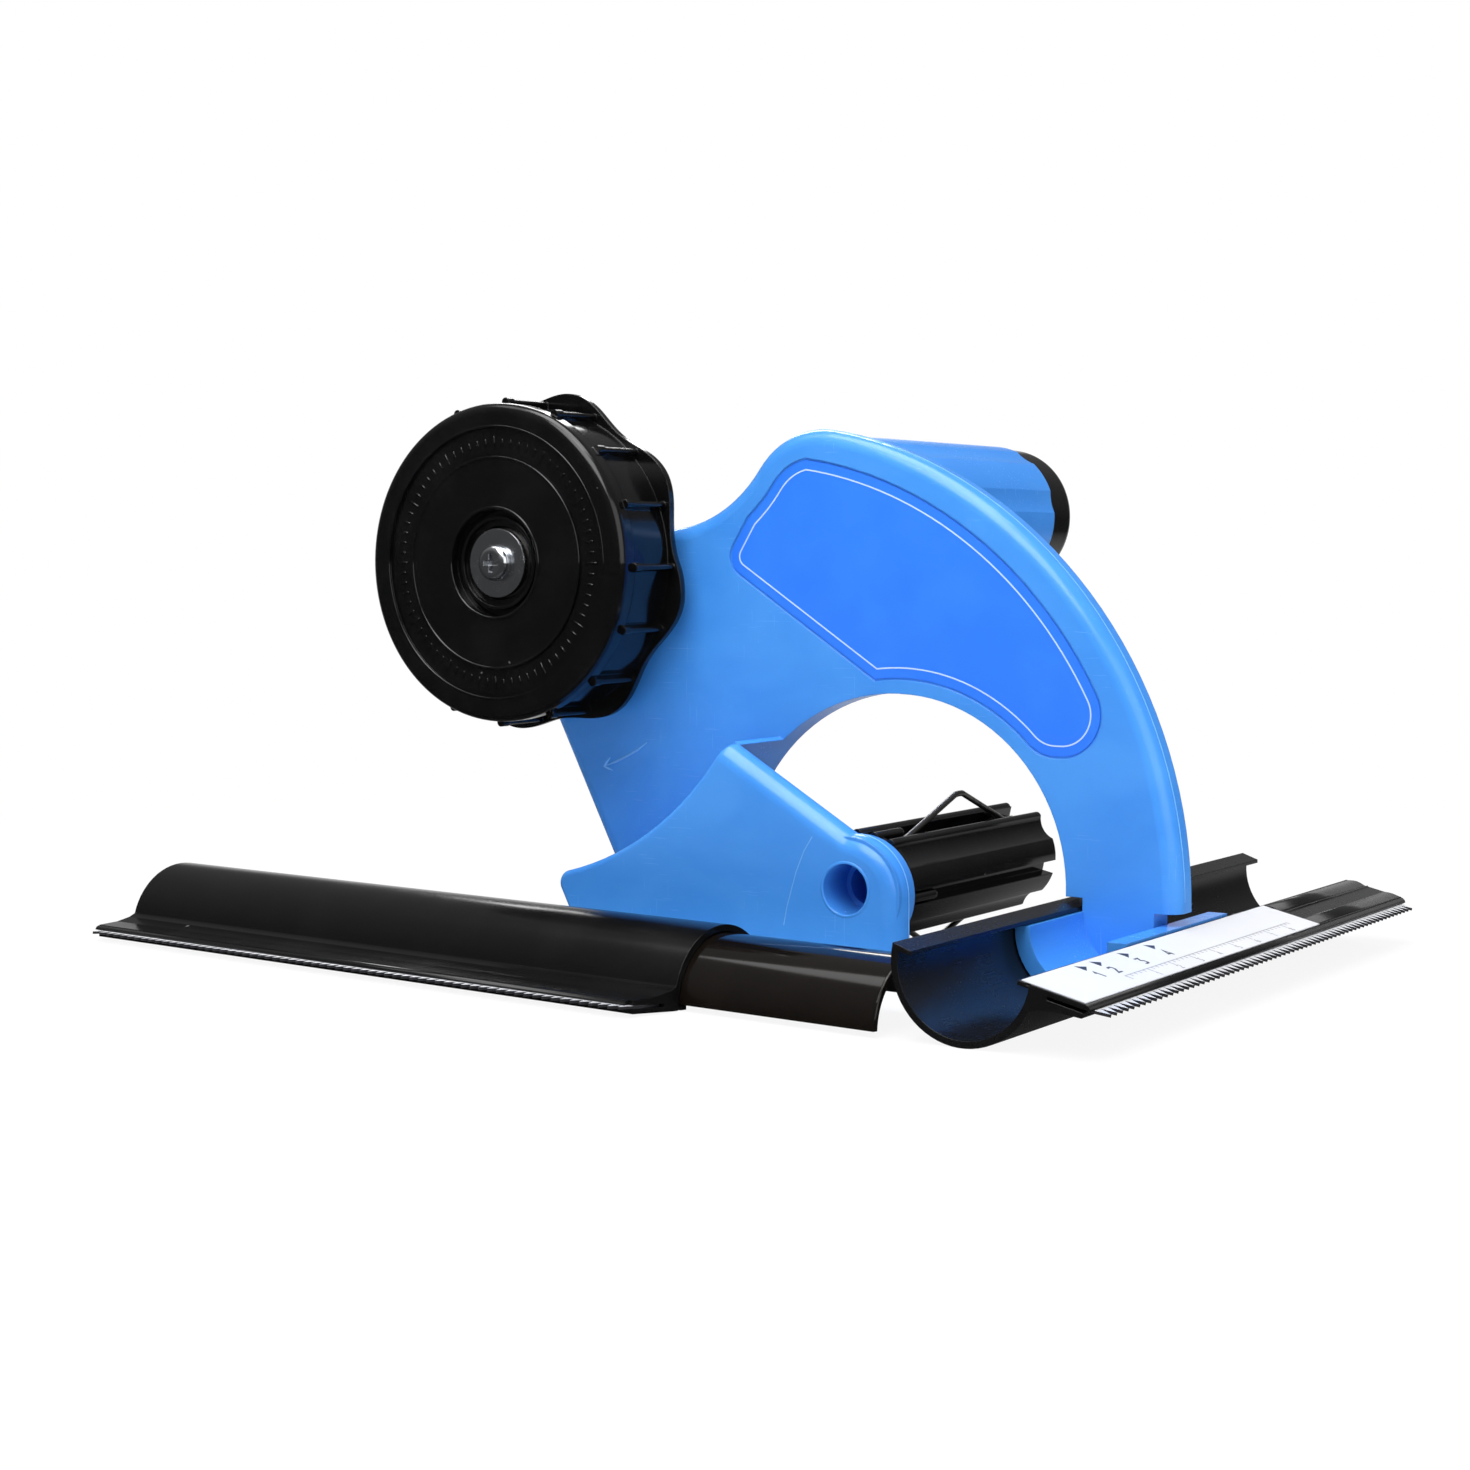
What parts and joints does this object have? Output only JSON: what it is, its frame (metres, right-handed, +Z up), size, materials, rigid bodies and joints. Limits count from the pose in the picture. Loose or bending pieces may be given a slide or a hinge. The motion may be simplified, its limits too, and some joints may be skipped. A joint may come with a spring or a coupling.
{
  "type": "masking paper dispenser",
  "caption": "Hand-held masking tape and paper dispenser: arched frame with handle, ribbed tape hub, sprung paper spindle, sliding serrated cutting blade and loose blade extension.",
  "frame": {"origin": "on the paper spindle's axis, at the front face of the bracket, where the peg bore opens", "axes": "+X right along the frame plate as the paper side is seen, +Y away from the paper side to the handle side, +Z up"},
  "size_m": [0.2668, 0.1859, 0.1299],
  "materials": {
    "blue_plastic": "satin moulded ABS",
    "label_blue": "satin vinyl sticker",
    "black_plastic": "satin moulded and extruded plastic",
    "black_gloss": "gloss extruded plastic",
    "zinc_steel": "bright zinc plated",
    "spring_steel": "dark oiled spring wire",
    "insert_brass": "turned, knurled",
    "drag_fibre": "pressed vulcanised fibre",
    "blade_steel": "oiled blued steel strip",
    "label_white": "coated white sticker"
  },
  "bodies": {
    "frame": {"frame_shell": "blue_plastic", "main_label": "label_blue", "handle_grip": "blue_plastic", "handle_end_cap": "black_plastic", "handle_bolt": "zinc_steel", "handle_washer": "zinc_steel", "handle_insert": "insert_brass", "hub_insert": "insert_brass", "hub_washer": "zinc_steel", "hub_spring_disc": "spring_steel", "hub_friction_disc": "drag_fibre", "spindle_screw": "zinc_steel", "spindle_washer": "zinc_steel"},
    "tape_hub": {"hub_drum": "black_plastic"},
    "tension_screw": {"hub_screw": "zinc_steel"},
    "paper_spindle": {"spindle_body": "black_plastic"},
    "spring_top": {"spindle_spring_top": "spring_steel"},
    "spring_bottom": {"spindle_spring_bottom": "spring_steel"},
    "blade": {"blade_profile": "black_plastic", "blade_steel": "blade_steel", "blade_label": "label_white"},
    "extension": {"extension_profile": "black_plastic", "extension_steel": "blade_steel"},
    "joining_sleeve": {"extension_sleeve": "black_gloss"}
  },
  "joints": [
    {"name": "tape_hub_spin", "type": "hinge", "parent": "frame", "child": "tape_hub", "pos_m": [-0.093, 0.009, 0.0698], "axis": [0, -1, 0], "continuous": true},
    {"name": "tension_screw_turn", "type": "hinge", "parent": "frame", "child": "tension_screw", "pos_m": [-0.093, -0.0018, 0.0698], "axis": [0, -1, 0], "range_deg": [-180, 180]},
    {"name": "paper_spindle_spin", "type": "hinge", "parent": "frame", "child": "paper_spindle", "pos_m": [0, 0.045, 0], "axis": [0, -1, 0], "continuous": true},
    {"name": "spring_top_press", "type": "slide", "parent": "paper_spindle", "child": "spring_top", "axis": [-0.2079, 0, -0.9781], "range_m": [0, 0.0058], "stiffness_N_per_m": 900, "deforming": ["spindle_spring_top"]},
    {"name": "spring_bottom_press", "type": "slide", "parent": "paper_spindle", "child": "spring_bottom", "axis": [0.2079, 0, 0.9781], "range_m": [0, 0.0058], "stiffness_N_per_m": 900, "deforming": ["spindle_spring_bottom"]},
    {"name": "blade_slide", "type": "slide", "parent": "frame", "child": "blade", "axis": [0, 1, 0], "range_m": [-0.00625, 0.0255]},
    {"name": "extension_lift", "type": "slide", "parent": "frame", "child": "extension", "axis": [0, 0, 1], "range_m": [0, 0.1]},
    {"name": "sleeve_slide", "type": "slide", "parent": "extension", "child": "joining_sleeve", "axis": [0.9959, -0.0906, 0], "range_m": [-0.046, 0]}
  ]
}
